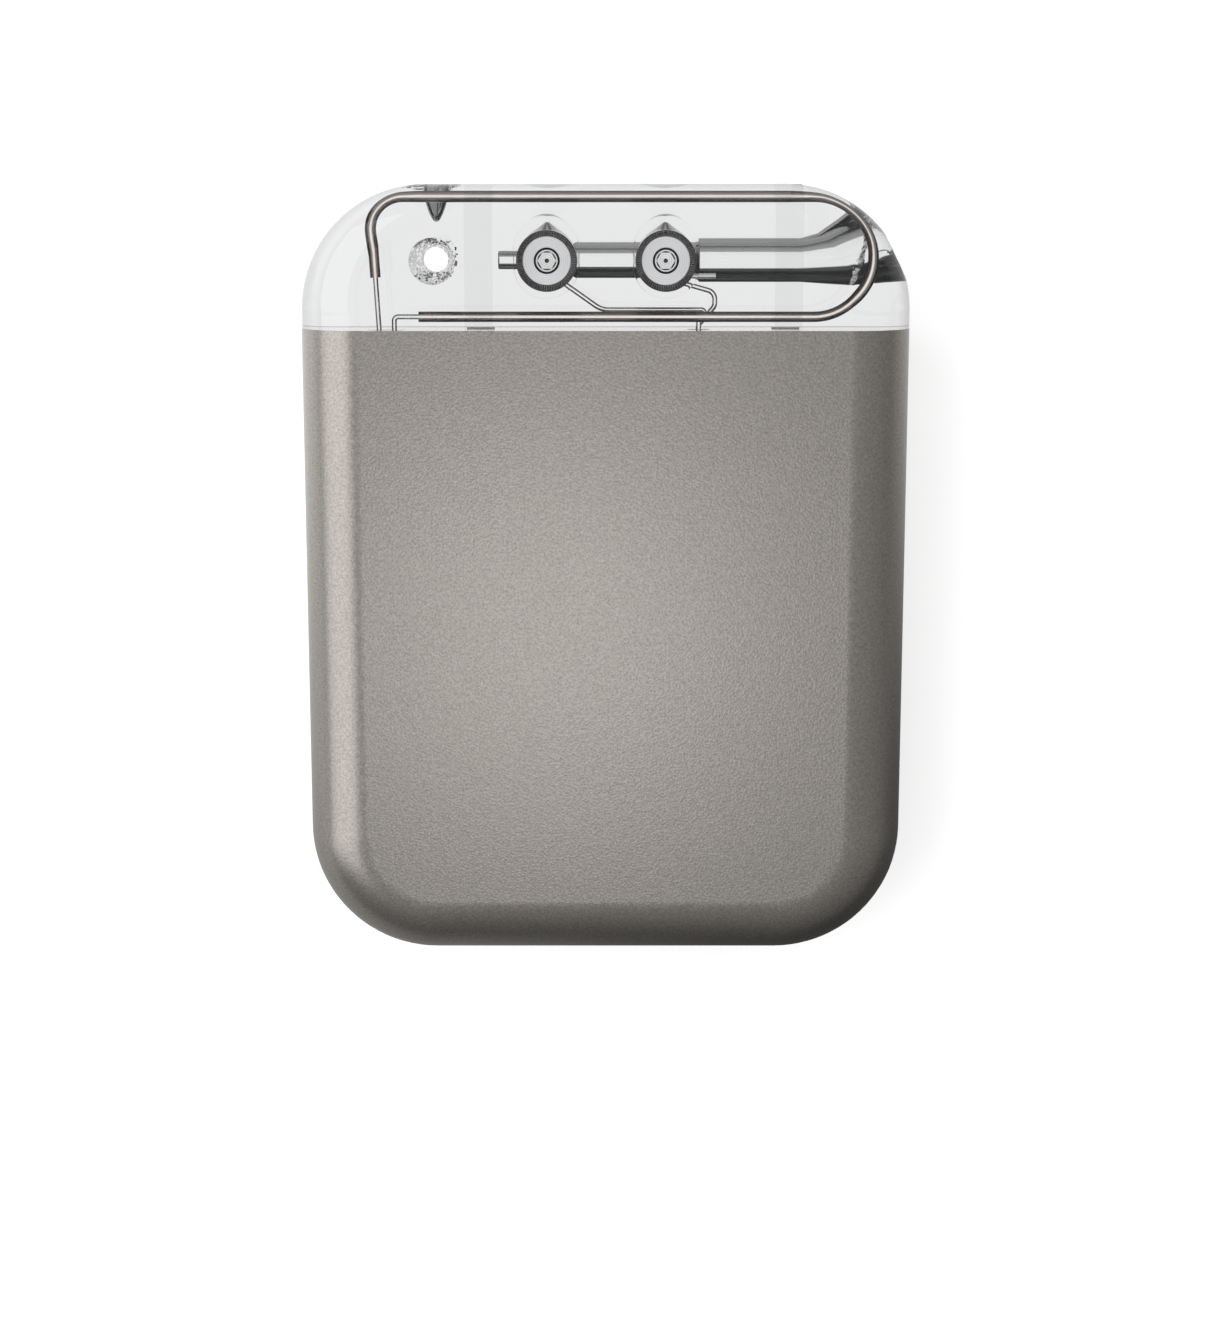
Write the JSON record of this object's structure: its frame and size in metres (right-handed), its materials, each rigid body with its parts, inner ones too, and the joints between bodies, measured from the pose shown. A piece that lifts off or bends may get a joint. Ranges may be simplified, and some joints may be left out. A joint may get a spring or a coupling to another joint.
{
  "type": "implantable pulse generator",
  "caption": "Flat round-edged titanium case with a clear cast header that holds a stepped lead bore, connector blocks, a loop antenna and a suture hole.",
  "frame": {"origin": "middle of the outline, on the surface the part lies on, with its rear face down", "axes": "+X across the case towards the lead mouth, +Y along the case towards the header's top, +Z out of the front face"},
  "size_m": [0.047, 0.0604, 0.0105],
  "materials": {
    "titanium": "fine bead-blasted titanium",
    "clear_epoxy": "polished clear cast epoxy",
    "clear_silicone": "soft clear silicone",
    "strip_film": "translucent grey film",
    "block_metal": "turned and polished",
    "screw_metal": "turned",
    "wire_metal": "bright drawn wire",
    "brown_sleeve": "extruded, glossy",
    "feed_ceramic": "fired, smooth",
    "cell_metal": "drawn and brushed",
    "liner_film": "formed film",
    "pad_rubber": "soft, matt",
    "cradle_plastic": "moulded",
    "board_laminate": "solder-masked laminate",
    "tab_nickel": "rolled nickel",
    "flex_film": "amber film",
    "chip_resin": "moulded resin",
    "capacitor_body": "fired",
    "ferrite": "pressed and sintered",
    "switch_glass": "drawn glass"
  },
  "bodies": {
    "root": {"front_shell": "titanium", "rear_shell": "titanium", "weld_band": "titanium", "left_strip": "strip_film", "right_strip": "strip_film", "left_anchor": "titanium", "right_anchor": "titanium", "pin_block": "block_metal", "ring_block": "block_metal", "pin_setscrew": "screw_metal", "ring_setscrew": "screw_metal", "pin_septum": "clear_silicone", "ring_septum": "clear_silicone", "antenna_wire": "wire_metal", "antenna_sleeve": "brown_sleeve", "pin_wire": "wire_metal", "ring_wire": "wire_metal", "antenna_ferrule": "titanium", "antenna_insulator": "feed_ceramic", "lead_ferrule": "titanium", "lead_insulator": "feed_ceramic", "antenna_pin_left": "wire_metal", "antenna_pin_right": "wire_metal", "lead_pin_front": "wire_metal", "lead_pin_rear": "wire_metal", "header": "clear_epoxy", "battery": "cell_metal", "battery_liner": "liner_film", "battery_pad": "pad_rubber", "board_cradle": "cradle_plastic", "circuit_board": "board_laminate", "positive_tab": "tab_nickel", "negative_tab": "tab_nickel", "pin_flex": "flex_film", "processor_chip": "chip_resin", "output_chip": "chip_resin", "radio_chip": "chip_resin", "crystal": "tab_nickel", "capacitors": "capacitor_body", "inductor": "ferrite", "magnet_switch": "switch_glass"}
  },
  "joints": []
}
